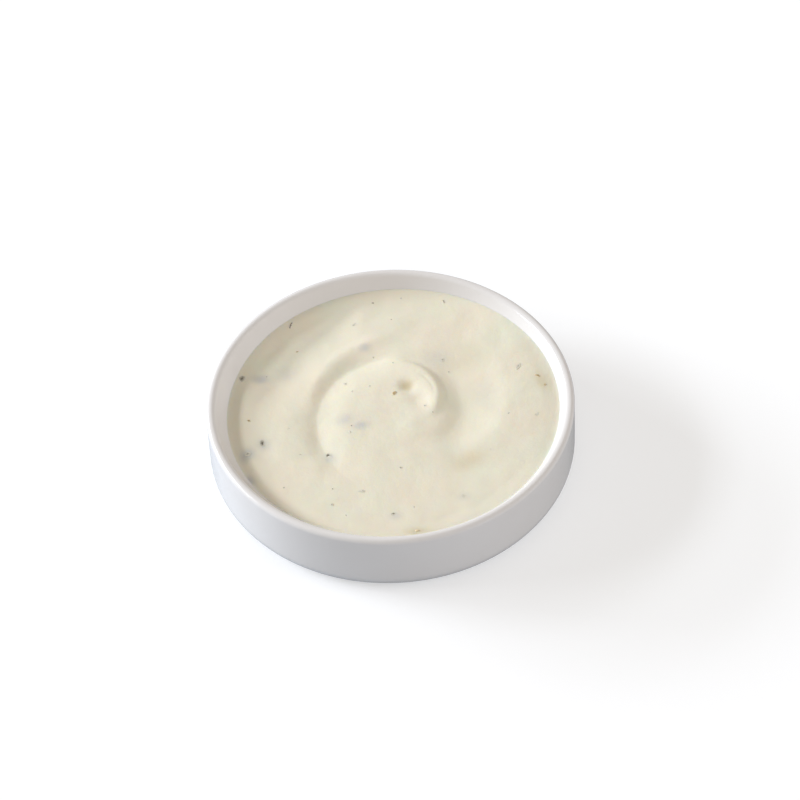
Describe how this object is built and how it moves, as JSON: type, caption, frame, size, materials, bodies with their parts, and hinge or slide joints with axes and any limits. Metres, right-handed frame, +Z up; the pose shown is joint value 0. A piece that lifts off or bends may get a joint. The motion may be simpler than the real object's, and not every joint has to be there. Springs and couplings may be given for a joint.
{
  "type": "bowl of ranch dressing",
  "caption": "Shallow round white porcelain dip dish filled with swirled creamy herb dressing, flecked with dried herb and pepper flakes.",
  "frame": {"origin": "middle of the dish's foot, on the surface that it stands on", "axes": "+Z up along the dish's axis, +X to the right and -Y towards the front of the pictured view"},
  "size_m": [0.1, 0.1, 0.02],
  "materials": {
    "porcelain": "smooth white glaze, moderately glossy, with a plain unglazed foot ring",
    "dressing": "thick ivory cream, softly translucent, satin sheen, with fine dark green, brown and black specks"
  },
  "bodies": {
    "root": {"bowl": "porcelain", "dressing": "dressing"}
  },
  "joints": []
}
